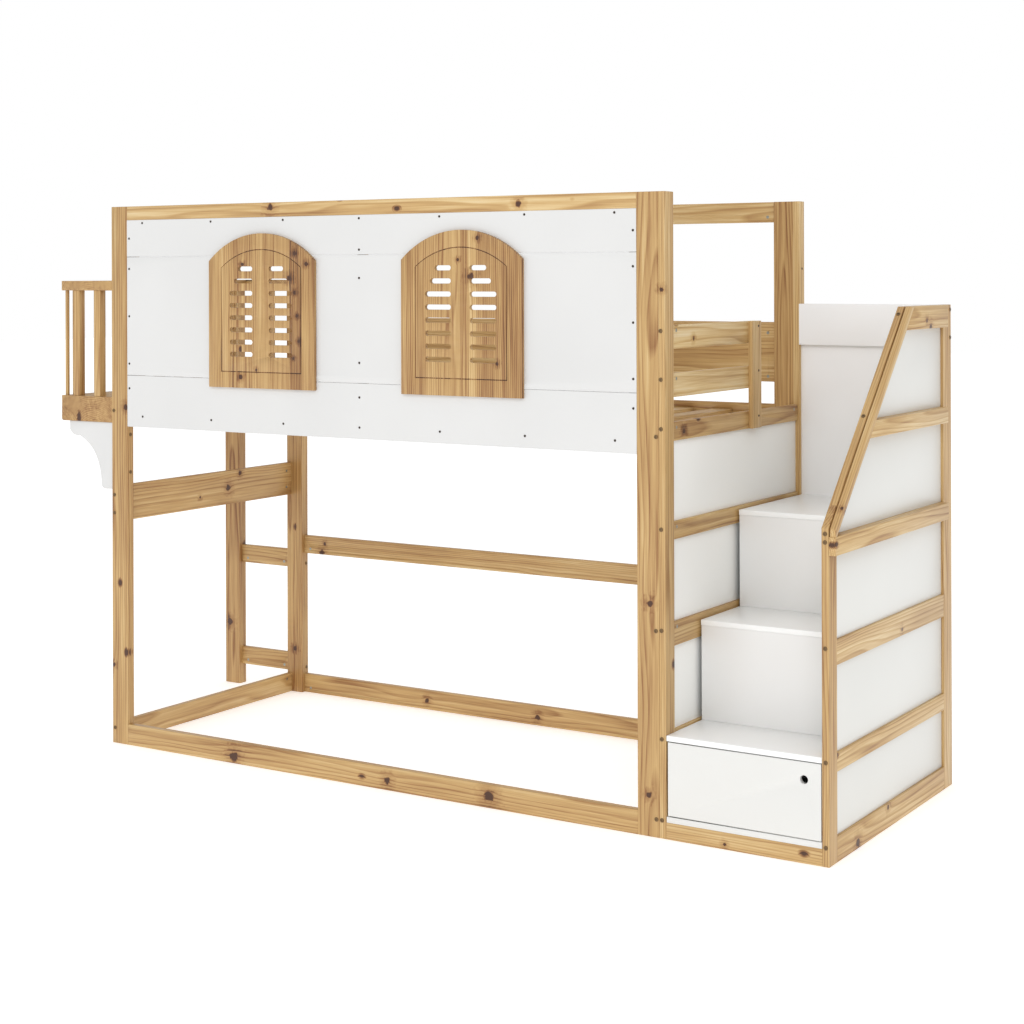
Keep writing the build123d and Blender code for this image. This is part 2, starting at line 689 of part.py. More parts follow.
for name, span in (("outer_guard_rail", outer_guard_rail), ("outer_top_rail", outer_top_rail)):
    inner_part = frame_piece(outer_front_post_depth, *span, slope_board_width)
    save(name, inner_part + raised_face(*span, outer_slope_board_width, 0))
outer_spans = [(0, floor_rail_height), lower_stair_rail, middle_stair_rail, upper_stair_rail,
               outer_guard_rail, outer_top_rail]
panel_face = side_face - white_panel_recess
outer_panels = []
for below, above in zip(outer_spans[:-1], outer_spans[1:]):
    sheet = block(panel_face - white_panel_thickness, panel_face, outer_front_post_depth, outer_frame_back,
                  below[1], above[0])
    outer_panels.append(sheet - above_slope(stair_right, side_face, slope_board_width))
save("outer_side_panels", *outer_panels)

# Treads, risers and the cleats that hold them
tread_left = stair_left + stair_gap
tread_right = stair_right - stair_gap
tread_fronts = [0, riser_two_front, riser_three_front]
riser_depth = riser_setback + riser_thickness
tread_backs = [riser_two_front + riser_depth, riser_three_front + riser_depth, back_panel_front]
pivot_x = stair_left + door_side_gap + pivot_inset
pivot_y = door_thickness / 2
cleat_fronts = [inner_front_post_depth, riser_two_front + riser_depth, riser_three_front + riser_depth]
treads = []
cleats = []
for number in range(3):
    top = step_rise * (number + 1)
    low = top - tread_thickness
    tread = block(tread_left, tread_right, tread_fronts[number], tread_backs[number], low, top)
    if number == 0:
        tread -= rod((pivot_x, pivot_y, low), (0, 0, 1), pivot_radius + pivot_clearance, pivot_seat)
    treads.append(tread)
    cleat_back = tread_backs[number] - riser_depth
    cleats.append(block(inner_face, tread_left + tread_cleat_width, cleat_fronts[number], cleat_back,
                        low - tread_cleat_height, low))
    right_front = max(cleat_fronts[number], outer_front_post_depth)
    cleats.append(block(tread_right - tread_cleat_width, stair_right, right_front, cleat_back,
                        low - tread_cleat_height, low))
save("stair_treads", *treads)
risers = []
for number, front in ((1, riser_two_front), (2, riser_three_front)):
    risers.append(block(tread_left, tread_right, front + riser_setback, front + riser_depth,
                        step_rise * number, step_rise * (number + 1) - tread_thickness))
save("stair_risers", *risers)
for cleat_left in (stair_left, stair_right - back_panel_cleat_size):
    cleats.append(block(cleat_left, cleat_left + back_panel_cleat_size, bed_depth - back_panel_cleat_size,
                        bed_depth, 0, outer_top))
save("stair_cleats", *cleats)

# Cabinet floor on two rails, back panel and top board
cabinet_floor = block(tread_left, tread_right, 0, back_panel_front, stair_floor_rail_height, cabinet_floor_top)
cabinet_floor -= rod((pivot_x, pivot_y, cabinet_floor_top), (0, 0, -1), pivot_radius + pivot_clearance, pivot_seat)
save("cabinet_floor", cabinet_floor)
save("stair_floor_rails",
     block(stair_left, stair_right, 0, rail_thickness, 0, stair_floor_rail_height),
     block(stair_left, stair_right, back_panel_front - rail_thickness, back_panel_front, 0,
           stair_floor_rail_height))
save("stair_back_panel", block(stair_left, stair_right, back_panel_front, back_panel_front + back_panel_thickness,
                               0, outer_top))
save("stair_top_board", block(stair_left, stair_right, back_panel_front - top_board_thickness, back_panel_front,
                              outer_top - top_board_height, outer_top))

# Cabinet door that turns on two pins, and the stop it closes against
door_left = stair_left + door_side_gap
door_right = stair_right - door_gap
door_bottom = cabinet_floor_top + door_gap
door_top = step_rise - tread_thickness - door_gap
door = block(door_left, door_right, 0, door_thickness, door_bottom, door_top)
door = fillet(door.edges().filter_by(Axis.Z).group_by(Axis.Y)[0], door_edge_radius)
door -= rod((door_right - finger_hole_inset, 0, door_top - finger_hole_drop), into_back,
            finger_hole_radius, door_thickness)
pin_length = pin_grip + door_gap + pivot_seat - pivot_play
pins = []
for height, way in ((door_top, 1), (door_bottom, -1)):
    door -= rod((pivot_x, pivot_y, height), (0, 0, -way), pivot_radius, pin_grip)
    pins.append(rod((pivot_x, pivot_y, height - way * pin_grip), (0, 0, way), pivot_radius, pin_length))
save("cabinet_door", door)
save("door_pins", *pins)
stop_front = door_thickness + stair_gap
save("door_stop", block(tread_right - door_stop_size, tread_right, stop_front, stop_front + door_stop_size,
                        cabinet_floor_top, step_rise - tread_thickness))

# Fasteners
all_bolts = [bolt(*fastener) for fastener in headed_bolts]
all_bolts += [rod(place, direction, bolt_shank_radius, length) for place, direction, length in flush_bolts]
save_fasteners("frame_bolts", all_bolts)
save_fasteners("barrel_nuts", [barrel_nut(*fastener) for fastener in barrel_nuts])
save_fasteners("small_screws", [screw(*fastener) for fastener in small_screws])
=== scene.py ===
import math
import bmesh
import bpy
import numpy
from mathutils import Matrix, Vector, noise


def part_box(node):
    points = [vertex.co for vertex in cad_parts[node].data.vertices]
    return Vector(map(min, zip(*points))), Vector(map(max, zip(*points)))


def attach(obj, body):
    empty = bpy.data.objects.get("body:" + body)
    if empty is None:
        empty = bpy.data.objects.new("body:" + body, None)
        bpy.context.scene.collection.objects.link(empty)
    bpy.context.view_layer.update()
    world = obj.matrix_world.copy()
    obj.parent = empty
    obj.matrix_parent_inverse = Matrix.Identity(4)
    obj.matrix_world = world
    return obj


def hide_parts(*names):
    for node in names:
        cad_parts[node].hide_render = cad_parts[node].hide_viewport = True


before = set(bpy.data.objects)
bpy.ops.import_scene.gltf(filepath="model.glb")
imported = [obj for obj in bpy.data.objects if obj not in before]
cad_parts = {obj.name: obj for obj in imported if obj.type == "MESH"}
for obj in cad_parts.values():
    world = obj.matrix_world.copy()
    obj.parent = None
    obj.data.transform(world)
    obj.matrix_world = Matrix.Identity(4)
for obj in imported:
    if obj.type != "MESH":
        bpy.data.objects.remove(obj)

bpy.ops.object.select_all(action="DESELECT")
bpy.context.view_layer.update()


# The room: a pale floor, even daylight from all round and two large soft lamps,
# with the camera where the photograph was taken, to the right of the stairs.
def from_srgb(red, green, blue):
    """A colour given in steps of 255, as the linear values that Blender works in."""
    steps = [value / 255 for value in (red, green, blue)]
    return tuple(s / 12.92 if s <= 0.04045 else ((s + 0.055) / 1.055) ** 2.4 for s in steps) + (1.0,)


def grey(value):
    """A grey as a linear colour, from 0 for black to 1 for white."""
    return (value, value, value, 1.0)


def plain_finish(name, colour, roughness):
    """A material with one colour and one roughness."""
    material = bpy.data.materials.new(name)
    material.use_nodes = True
    shader = shader_of(material)
    shader.inputs["Base Color"].default_value = colour
    shader.inputs["Roughness"].default_value = roughness
    return material


def shader_of(material):
    """The material's own Principled shader."""
    return material.node_tree.nodes["Principled BSDF"]


white = grey(1.0)
floor_width = 60.0
floor_drop = 0.0005
floor_glow = 0.36
floor_finish = plain_finish("pale floor", from_srgb(252, 252, 252), 0.9)
shader_of(floor_finish).inputs["Emission Color"].default_value = white
shader_of(floor_finish).inputs["Emission Strength"].default_value = floor_glow
bpy.ops.mesh.primitive_plane_add(size=floor_width, location=(0, 0, -floor_drop))
floor = bpy.context.object
floor.name = "studio_floor"
floor.data.materials.append(floor_finish)

daylight_strength = 0.79
daylight = bpy.data.worlds.new("studio daylight")
daylight.use_nodes = True
sky = daylight.node_tree
sky_fill = sky.nodes["Background"]
sky_fill.inputs["Color"].default_value = white
sky_fill.inputs["Strength"].default_value = daylight_strength
sky_backdrop = sky.nodes.new("ShaderNodeBackground")
sky_backdrop.inputs["Color"].default_value = white
seen_by_camera = sky.nodes.new("ShaderNodeLightPath")
sky_choice = sky.nodes.new("ShaderNodeMixShader")
sky.links.new(seen_by_camera.outputs["Is Camera Ray"], sky_choice.inputs[0])
sky.links.new(sky_fill.outputs[0], sky_choice.inputs[1])
sky.links.new(sky_backdrop.outputs[0], sky_choice.inputs[2])
sky.links.new(sky_choice.outputs[0], sky.nodes["World Output"].inputs["Surface"])
bpy.context.scene.world = daylight
bpy.context.scene.view_settings.view_transform = "Standard"

lamp_aim = Vector((0.0, 0.0, 0.8))


def soft_lamp(name, place, width, power):
    """A square area lamp of that width at a place, turned to the middle of the bed."""
    lamp_data = bpy.data.lights.new(name, "AREA")
    lamp_data.size = width
    lamp_data.energy = power
    lamp = bpy.data.objects.new(name, lamp_data)
    lamp.location = place
    lamp.rotation_euler = (lamp_aim - Vector(place)).to_track_quat("-Z", "Y").to_euler()
    bpy.context.collection.objects.link(lamp)


soft_lamp("key lamp", place=(5.6, -10.5, 7.2), width=4.5, power=330.0)
soft_lamp("fill lamp", place=(-3.0, -9.0, 6.5), width=4.0, power=60.0)

camera_place = (3.3226, -5.0623, 1.5421)
camera_turn = 0.562
camera_tilt = 0.003
camera_film = 36.0
camera_lens = 66.61
camera_shift = (0.0021, -0.2325)
camera_data = bpy.data.cameras.new("photo view")
camera_data.sensor_width = camera_film
camera_data.lens = camera_lens
camera_data.shift_x, camera_data.shift_y = camera_shift
camera = bpy.data.objects.new("photo view", camera_data)
camera.location = camera_place
camera.rotation_euler = (math.pi / 2, camera_tilt, camera_turn)
bpy.context.collection.objects.link(camera)
bpy.context.scene.camera = camera


# Posts of the bed: planed pine, each sawn from its own part of a log, with eased edges.
# The rails are bolted between them. The wood is clear varnished and shows its rings and knots.
def add_node(tree, kind, inputs, **settings):
    """A shader node with its settings, and with sockets linked to or values set on its inputs."""
    node = tree.nodes.new(kind)
    for name, value in settings.items():
        setattr(node, name, value)
    for name, value in inputs.items():
        if isinstance(value, bpy.types.NodeSocket):
            tree.links.new(value, node.inputs[name])
        else:
            node.inputs[name].default_value = value
    return node


def work_out(tree, operation, first, second=0.0):
    """The result of a Math node on two sockets or numbers."""
    return add_node(tree, "ShaderNodeMath", {0: first, 1: second}, operation=operation).outputs[0]


def work_out_vector(tree, operation, first, second):
    """The result of a Vector Math node on two sockets or vectors."""
    sums = add_node(tree, "ShaderNodeVectorMath", {0: first, 1: second}, operation=operation)
    return sums.outputs["Value" if operation == "DISTANCE" else "Vector"]


def add_share(tree, base, value, share):
    """The base with a share of a value added to it."""
    return work_out(tree, "ADD", base, work_out(tree, "MULTIPLY", value, share))


def swing(tree, effect, amount):
    """An effect from 0 to 1 as a swing of that amount to both sides of nothing."""
    return work_out(tree, "MULTIPLY", work_out(tree, "SUBTRACT", effect, 0.5), amount)


def fade(tree, value, outer, inner, depth):
    """Nothing where the value is at its outer limit or past it, rising to a depth at the inner one."""
    limits = {0: value, 1: outer, 2: inner, 3: 0.0, 4: depth}
    return add_node(tree, "ShaderNodeMapRange", limits).outputs[0]


def stretched_noise(tree, place, spots, detail):
    """Soft noise with so many spots to the metre along, across and through a board."""
    scaled = work_out_vector(tree, "MULTIPLY", place, spots)
    cloud = add_node(tree, "ShaderNodeTexNoise", {"Vector": scaled, "Scale": 1.0, "Detail": detail})
    return cloud.outputs[0]


def colour_steps(tree, value, steps, interpolation="LINEAR"):
    """A colour ramp over a value, given as pairs of a position and a colour."""
    ramp = add_node(tree, "ShaderNodeValToRGB", {0: value})
    ramp.color_ramp.interpolation = interpolation
    points = ramp.color_ramp.elements
    for position, colour in steps[2:]:
        points.new(position)
    for point, (position, colour) in zip(points, steps):
        point.position = position
        point.color = colour
    return ramp.outputs[0]


look_outputs = (("Color", "Color"), ("Roughness", "Float"), ("Height", "Float"))


def new_group(name, inputs, outputs=look_outputs):
    """A node group with those inputs and outputs, and its two end nodes."""
    group = bpy.data.node_groups.new(name, "ShaderNodeTree")
    for socket, kind in inputs:
        group.interface.new_socket(socket, in_out="INPUT", socket_type="NodeSocket" + kind)
    for socket, kind in outputs:
        group.interface.new_socket(socket, in_out="OUTPUT", socket_type="NodeSocket" + kind)
    return group, group.nodes.new("NodeGroupInput"), group.nodes.new("NodeGroupOutput")


pine_tones = [
    (0.0, from_srgb(228, 211, 178)),
    (0.22, from_srgb(217, 190, 140)),
    (0.42, from_srgb(198, 163, 108)),
    (0.60, from_srgb(178, 140, 89)),
    (0.80, from_srgb(142, 98, 56)),
    (1.0, from_srgb(74, 44, 26)),
]
ring_steps = [(0.0, grey(0.0)), (0.5, grey(0.18)), (0.86, grey(1.0)), (1.0, grey(0.05))]
rings_per_metre = 155.0
ring_darkening = 0.24
heart_wander = 0.04
wander_spots = (1.1, 7.0, 7.0)
fibre_spots, fibre_contrast = (8.0, 380.0, 380.0), 0.44
streak_spots, streak_contrast = (2.5, 95.0, 95.0), 0.50
cloud_spots, cloud_contrast = (1.6, 18.0, 18.0), 0.50
bud_spots = (5.0, 8.0, 3.0)
bud_rim, bud_heart = 0.10, 0.03
knot_bulge = 0.006
knot_darkening = 0.7
pine_lightening = 0.05
pine_roughness, ring_roughness = 0.38, 0.10
fibre_relief = 0.6


def make_pine_figure():
    """Growth rings round the heart of the log, fine fibres, cloudy colour and small knots."""
    group, start, end = new_group("Pine figure",
                                  [("Grain", "Vector"), ("Tone", "Float"), ("Knots", "Float")])
    grain = start.outputs["Grain"]
    wander = stretched_noise(group, grain, wander_spots, 2.0)
    fibre = stretched_noise(group, grain, fibre_spots, 3.0)
    streak = stretched_noise(group, grain, streak_spots, 2.0)
    cloud = stretched_noise(group, grain, cloud_spots, 2.0)

    spots = work_out_vector(group, "MULTIPLY", grain, bud_spots)
    cells = add_node(group, "ShaderNodeTexVoronoi", {"Vector": spots, "Scale": 1.0})
    bud = fade(group, cells.outputs["Distance"], bud_rim, bud_heart, 1.0)
    knots = work_out(group, "MAXIMUM", bud, start.outputs["Knots"])

    axes = add_node(group, "ShaderNodeSeparateXYZ", {0: grain})
    across = work_out(group, "POWER", axes.outputs[1], 2.0)
    deep = work_out(group, "POWER", axes.outputs[2], 2.0)
    distance = work_out(group, "SQRT", work_out(group, "ADD", across, deep))
    warped = work_out(group, "ADD", distance, swing(group, wander, heart_wander))
    warped = add_share(group, warped, knots, knot_bulge)
    turn = work_out(group, "FRACT", work_out(group, "MULTIPLY", warped, rings_per_metre))
    ring = colour_steps(group, turn, ring_steps)

    tone = add_share(group, start.outputs["Tone"], ring, ring_darkening)
    for effect, contrast in ((fibre, fibre_contrast), (streak, streak_contrast), (cloud, cloud_contrast)):
        tone = work_out(group, "ADD", tone, swing(group, effect, contrast))
    tone = add_share(group, tone, knots, knot_darkening)
    tone = work_out(group, "SUBTRACT", tone, pine_lightening)
    group.links.new(colour_steps(group, tone, pine_tones), end.inputs["Color"])
    group.links.new(add_share(group, pine_roughness, ring, ring_roughness), end.inputs["Roughness"])
    group.links.new(add_share(group, ring, fibre, fibre_relief), end.inputs["Height"])
    return group


rag_spots = (90.0, 90.0, 90.0)
core_rim, core_heart = 0.95, 0.35
halo_rim, halo_heart, halo_depth = 2.3, 1.0, 0.22


def make_knot_mark():
    """A dark ragged knot with a faint halo at a place, added to the knots before it."""
    group, start, end = new_group("Knot mark",
                                  [("Before", "Float"), ("Position", "Vector"), ("Place", "Vector"),
                                   ("Size", "Float")],
                                  [("Knots", "Float")])
    away = work_out_vector(group, "DISTANCE", start.outputs["Position"], start.outputs["Place"])
    ragged = stretched_noise(group, start.outputs["Position"], rag_spots, 1.0)
    reach = work_out(group, "MULTIPLY", away, work_out(group, "ADD", ragged, 0.5))
    share = work_out(group, "DIVIDE", reach, start.outputs["Size"])
    core = fade(group, share, core_rim, core_heart, 1.0)
    halo = fade(group, share, halo_rim, halo_heart, halo_depth)
    mark = work_out(group, "MAXIMUM", core, halo)
    group.links.new(work_out(group, "MAXIMUM", start.outputs["Before"], mark), end.inputs["Knots"])
    return group


pine_figure = make_pine_figure()
knot_mark = make_knot_mark()


def knot_on(node, along, up, size, right_side=False):
    """A knot on a board's front, or on its right side: its shares of the run and height, and its size."""
    low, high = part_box(node)
    run = 1 if right_side else 0
    ends = low[run] + (high[run] - low[run]) * along
    height = low[2] + (high[2] - low[2]) * up
    place = (high[0], ends, height) if right_side else (ends, low[1], height)
    return place, size


def mark_knots(tree, place, knots):
    """Knot marks one after another, and how much of a knot each place is."""
    marked = 0.0
    for spot, size in knots:
        inputs = {"Before": marked, "Position": place, "Place": spot, "Size": size}
        marked = add_node(tree, "ShaderNodeGroup", inputs, node_tree=knot_mark).outputs["Knots"]
    return marked


large_knots = [
    knot_on("front_floor_rail", 0.238, 0.29, 0.022),
    knot_on("front_floor_rail", 0.552, 0.44, 0.016),
    knot_on("front_floor_rail", 0.743, 0.55, 0.024),
    knot_on("front_top_rail", 0.319, 0.80, 0.017),
    knot_on("front_top_rail", 0.799, 0.66, 0.015),
    knot_on("front_right_post", 0.59, 0.361, 0.014),
    knot_on("inner_front_post", 0.50, 0.848, 0.010),
    knot_on("left_wide_rail", 0.60, 0.49, 0.016, right_side=True),
    knot_on("support_post", 0.30, 0.151, 0.018),
    knot_on("back_left_post", 0.52, 0.090, 0.012),
    knot_on("back_mid_rail", 0.043, 0.12, 0.016),
    knot_on("back_mid_rail", 0.050, 0.61, 0.009),
    knot_on("outer_top_rail", 0.55, 0.09, 0.013, right_side=True),
    knot_on("outer_top_rail", 0.46, 0.37, 0.010, right_side=True),
    knot_on("outer_slope_board", 0.077, 0.124, 0.010, right_side=True),
    knot_on("outer_slope_board", 0.113, 0.100, 0.009, right_side=True),
    knot_on("end_guards", 0.245, 0.80, 0.010, right_side=True),
    knot_on("back_floor_rail", 0.290, 0.48, 0.012),
    knot_on("back_floor_rail", 0.532, 0.42, 0.013),
    knot_on("front_left_post", 0.08, 0.146, 0.010),
    knot_on("front_left_post", 0.90, 0.627, 0.014),
    knot_on("front_right_post", 0.52, 0.064, 0.012),
    knot_on("stair_floor_rails", 0.385, 0.30, 0.008),
    knot_on("outer_side_rails", 0.441, 0.098, 0.011, right_side=True),
    knot_on("outer_side_rails", 0.172, 0.030, 0.018, right_side=True),
    knot_on("outer_side_rails", 0.578, 0.917, 0.009, right_side=True),
    knot_on("inner_side_rails", 0.086, 0.975, 0.013, right_side=True),
    knot_on("left_wide_rail", 0.672, 0.90, 0.013, right_side=True),
    knot_on("left_wide_rail", 0.431, 0.33, 0.008, right_side=True),
]


def place_on_piece(tree):
    """Each point's place on the piece, in metres."""
    return add_node(tree, "ShaderNodeTexCoord", {}).outputs["Object"]


def read_board(tree, name):
    """A value stored on the boards by lay_grain."""
    return add_node(tree, "ShaderNodeAttribute", {}, attribute_name=name, attribute_type="GEOMETRY")


bump_strength = 0.35


def show_look(material, group, inputs, relief):
    """Puts a group's colour, roughness and relief of that many metres on the material's own shader."""
    tree = material.node_tree
    look = add_node(tree, "ShaderNodeGroup", inputs, node_tree=group)
    bump = add_node(tree, "ShaderNodeBump", {"Height": look.outputs["Height"], "Strength": bump_strength,
                                             "Distance": relief})
    shader = shader_of(material)
    tree.links.new(look.outputs["Color"], shader.inputs["Base Color"])
    tree.links.new(look.outputs["Roughness"], shader.inputs["Roughness"])
    tree.links.new(bump.outputs[0], shader.inputs["Normal"])


pine_relief = 0.0004
pine = plain_finish("varnished pine", pine_tones[2][1], 0.4)
pine_knots = mark_knots(pine.node_tree, place_on_piece(pine.node_tree), large_knots)
show_look(pine, pine_figure, {"Grain": read_board(pine.node_tree, "grain").outputs["Vector"],
                              "Tone": read_board(pine.node_tree, "tone").outputs["Fac"],
                              "Knots": pine_knots}, pine_relief)

eased_edge = 0.0013
least_edge = 0.006
weld_gap = 0.00002
flat_turn = math.radians(1)
sharp_turn = math.radians(40)
smooth_turn = math.radians(35)


def merged_copy(node, edge, shortest):
    """A copy of a CAD node with its doubles merged and its edges longer than the shortest rounded."""
    piece = bpy.data.objects.new(node + "_made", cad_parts[node].data.copy())
    piece.data.materials.clear()
    bpy.context.collection.objects.link(piece)
    bpy.ops.object.select_all(action="DESELECT")
    piece.select_set(True)
    bpy.context.view_layer.objects.active = piece
    bpy.ops.object.mode_set(mode="EDIT")
    bpy.ops.mesh.select_all(action="SELECT")
    bpy.ops.mesh.remove_doubles(threshold=weld_gap)
    bpy.ops.mesh.dissolve_limited(angle_limit=flat_turn)
    bpy.ops.object.mode_set(mode="OBJECT")
    if edge:
        shape = bmesh.new()
        shape.from_mesh(piece.data)
        weight = shape.edges.layers.float.new("bevel_weight_edge")
        for line in shape.edges:
            sharp = line.is_manifold and line.calc_face_angle(0) > sharp_turn
            line[weight] = 1.0 if sharp and line.calc_length() > shortest else 0.0
        shape.to_mesh(piece.data)
        shape.free()
        rounding = piece.modifiers.new("eased edges", "BEVEL")
        rounding.width = edge
        rounding.segments = 2
        rounding.limit_method = "WEIGHT"
        rounding.use_clamp_overlap = False
        bpy.ops.object.modifier_apply(modifier=rounding.name)
    bpy.ops.object.shade_smooth_by_angle(angle=smooth_turn)
    piece.select_set(False)
    return piece


def boards_of(piece):
    """The vertex numbers of each separate board, or other solid, in a piece."""
    shape = bmesh.new()
    shape.from_mesh(piece.data)
    shape.verts.ensure_lookup_table()
    unseen = set(range(len(shape.verts)))
    boards = []
    while unseen:
        waiting = [unseen.pop()]
        board = []
        while waiting:
            number = waiting.pop()
            board.append(number)
            for line in shape.verts[number].link_edges:
                other = line.other_vert(shape.verts[number]).index
                if other in unseen:
                    unseen.remove(other)
                    waiting.append(other)
        boards.append(board)
    shape.free()
    return boards


log_length = 9.0
log_sideways = 0.09
heart_nearest, heart_range = 0.03, 0.07
board_tone_range = 0.08
chance_scale, chance_offset = 37.0, Vector((0.3, 0.6, 0.9))


def lay_grain(piece, tone, run=None):
    """Stores each board's own coordinates along, across and through its grain, and its tone."""
    mesh = piece.data
    boards = boards_of(piece)
    mesh.attributes.new("grain", "FLOAT_VECTOR", "POINT")
    mesh.attributes.new("tone", "FLOAT", "POINT")
    grain = mesh.attributes["grain"].data
    shade = mesh.attributes["tone"].data
    for board in boards:
        places = [mesh.vertices[number].co.copy() for number in board]
        low = Vector([min(place[axis] for place in places) for axis in range(3)])
        high = Vector([max(place[axis] for place in places) for axis in range(3)])
        middle = (low + high) / 2
        longest_first = sorted(range(3), key=lambda axis: low[axis] - high[axis])
        directions = [Vector([float(axis == other) for other in range(3)]) for axis in longest_first]
        if run:
            directions = [run, directions[2].cross(run), directions[2]]
        chance = noise.cell_vector(middle * chance_scale + chance_offset)
        start = Vector((chance.x * log_length, (chance.y - 0.5) * log_sideways,
                        heart_nearest + chance.z * heart_range))
        board_tone = tone + (chance.z - 0.5) * board_tone_range
        for number, place in zip(board, places):
            offset = place - middle
            grain[number].vector = start + Vector([offset.dot(way) for way in directions])
            shade[number].value = board_tone


def finish_piece(piece, node, material, body="bed"):
    """The finished piece stands for its CAD node and moves with its body."""
    piece.data.materials.append(material)
    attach(piece, body)
    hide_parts(node)


def sawn_from_pine(node, tone, run=None):
    """Boards of varnished pine, of a tone from 0 for pale to 1 for dark, with their grain along the run."""
    piece = merged_copy(node, eased_edge, least_edge)
    lay_grain(piece, tone, run)
    finish_piece(piece, node, pine)


sawn_from_pine("front_left_post", 0.54)
sawn_from_pine("front_right_post", 0.50)
sawn_from_pine("back_left_post", 0.58)
sawn_from_pine("back_right_post", 0.56)


# Rails of the bed: planed pine boards bolted between the posts, the floor rails low down,
# the side rails at the deck, and a wide board and a guard board at the back and the ends.
for node, tone in (("front_top_rail", 0.34), ("front_side_rail", 0.50), ("front_floor_rail", 0.44),
                   ("back_top_rail", 0.32), ("back_guard_board", 0.42), ("back_side_rail", 0.50),
                   ("back_mid_rail", 0.46), ("back_floor_rail", 0.50), ("end_floor_rails", 0.38),
                   ("left_wide_rail", 0.44), ("end_deck_rails", 0.52), ("right_mid_rail", 0.50)):
    sawn_from_pine(node, tone)


# Deck: planed pine slats that lie across the bed on two ledgers, which are fixed along the
# inner faces of the side rails.
sawn_from_pine("slat_ledgers", 0.48)
sawn_from_pine("deck_slats", 0.40)


# Front wall: three boards between the posts, with two window openings in the middle one. They
# are screwed to upright pine battens behind them. The white is a sprayed lacquer of low gloss,
# a little uneven, that follows the eased edges of the boards.
film_tints = [(0.3, grey(0.965)), (0.7, grey(1.0))]
film_cloud_spots = (3.0, 3.0, 3.0)
film_peel_spots = (260.0, 260.0, 260.0)
film_roughness, film_roughness_range = 0.30, 0.08
film_relief = 0.00005


def make_lacquer_film():
    """Slight clouds in the colour and gloss of a sprayed film, and its fine orange peel."""
    group, start, end = new_group("Lacquer film", [("Position", "Vector"), ("Tint", "Color")])
    cloud = stretched_noise(group, start.outputs["Position"], film_cloud_spots, 2.0)
    peel = stretched_noise(group, start.outputs["Position"], film_peel_spots, 2.0)
    dim = colour_steps(group, cloud, film_tints)
    tint = work_out_vector(group, "MULTIPLY", start.outputs["Tint"], dim)
    group.links.new(tint, end.inputs["Color"])
    group.links.new(add_share(group, film_roughness, cloud, film_roughness_range), end.inputs["Roughness"])
    group.links.new(peel, end.inputs["Height"])
    return group


lacquer_film = make_lacquer_film()


def lacquer(name, tint):
    """A white lacquer finish with its own tint."""
    material = plain_finish(name, tint, 0.33)
    show_look(material, lacquer_film, {"Position": place_on_piece(material.node_tree), "Tint": tint},
              film_relief)
    return material


panel_white = lacquer("white lacquer", from_srgb(219, 219, 218))
lacquered_edge = 0.0010


def sprayed_white(node, material=panel_white, edge=lacquered_edge, shortest=least_edge, body="bed"):
    """White boards with their edges eased before they were sprayed."""
    piece = merged_copy(node, edge, shortest)
    finish_piece(piece, node, material, body)


for node in ("top_front_panel", "middle_front_panel", "low_front_panel"):
    sprayed_white(node)
sawn_from_pine("panel_battens", 0.46)


# Shutters: boards glued up from upright pine strips of uneven tone, with an arched head,
# a carved border line and two columns of slots, fixed over the window openings.
strip_jump_along, strip_jump_across = 71.0, 0.11
# The last of these darkens the floor of the carved line, as painted shade.
carving_depth, carving_slack, groove_painted_shade = 0.0016, 0.0007, 0.30
shutter_edge, shutter_least_edge = 0.0006, 0.0005


def make_shutter_pine(name, node, seams, tones, marks):
    """Pine whose tone and grain jump from strip to strip across the board, with its own knots, and painted
    shade that darkens the floor of the carved line.
    """
    low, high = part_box(node)
    material = plain_finish(name, pine_tones[3][1], 0.4)
    tree = material.node_tree
    place = place_on_piece(tree)
    axes = add_node(tree, "ShaderNodeSeparateXYZ", {0: place})
    from_left = work_out(tree, "SUBTRACT", axes.outputs[0], low[0])
    share = work_out(tree, "DIVIDE", from_left, high[0] - low[0])
    strip_steps = [(seam, grey(tone)) for seam, tone in zip(seams, tones)]
    strips = colour_steps(tree, share, strip_steps, "CONSTANT")
    along = work_out(tree, "MULTIPLY", strips, strip_jump_along)
    across = work_out(tree, "MULTIPLY", strips, strip_jump_across)
    jump = add_node(tree, "ShaderNodeCombineXYZ", {0: along, 1: across, 2: 0.0}).outputs[0]
    grain = work_out_vector(tree, "ADD", read_board(tree, "grain").outputs["Vector"], jump)
    # Painted shade: points at the depth of the carved line's floor are made darker.
    behind = work_out(tree, "SUBTRACT", axes.outputs[1], low[1])
    groove_shade_mask = add_node(tree, "ShaderNodeMath", {0: behind, 1: carving_depth, 2: carving_slack},
                      operation="COMPARE").outputs[0]
    knots = [knot_on(node, *mark) for mark in marks]
    show_look(material, pine_figure, {"Grain": grain,
                                      "Tone": add_share(tree, strips, groove_shade_mask, groove_painted_shade),
                                      "Knots": mark_knots(tree, place, knots)}, pine_relief)
    return material


left_seams = (0.0, 0.11, 0.19, 0.32, 0.46, 0.63, 0.77, 0.88)
left_strip_tones = (0.56, 0.50, 0.60, 0.53, 0.58, 0.52, 0.72, 0.60)
left_marks = ((0.77, 0.71, 0.013), (0.33, 0.80, 0.008), (0.31, 0.07, 0.010), (0.46, 0.12, 0.007),
              (0.82, 0.62, 0.008), (0.84, 0.47, 0.007), (0.86, 0.31, 0.008), (0.81, 0.20, 0.006),
              (0.82, 0.87, 0.009), (0.93, 0.80, 0.009))
right_seams = (0.0, 0.11, 0.18, 0.32, 0.41, 0.51, 0.57, 0.63, 0.78, 0.84)
right_strip_tones = (0.55, 0.60, 0.52, 0.57, 0.50, 0.58, 0.40, 0.68, 0.60, 0.66)
right_marks = ((0.59, 0.72, 0.016), (0.64, 0.95, 0.009), (0.48, 0.82, 0.007), (0.80, 0.20, 0.008))
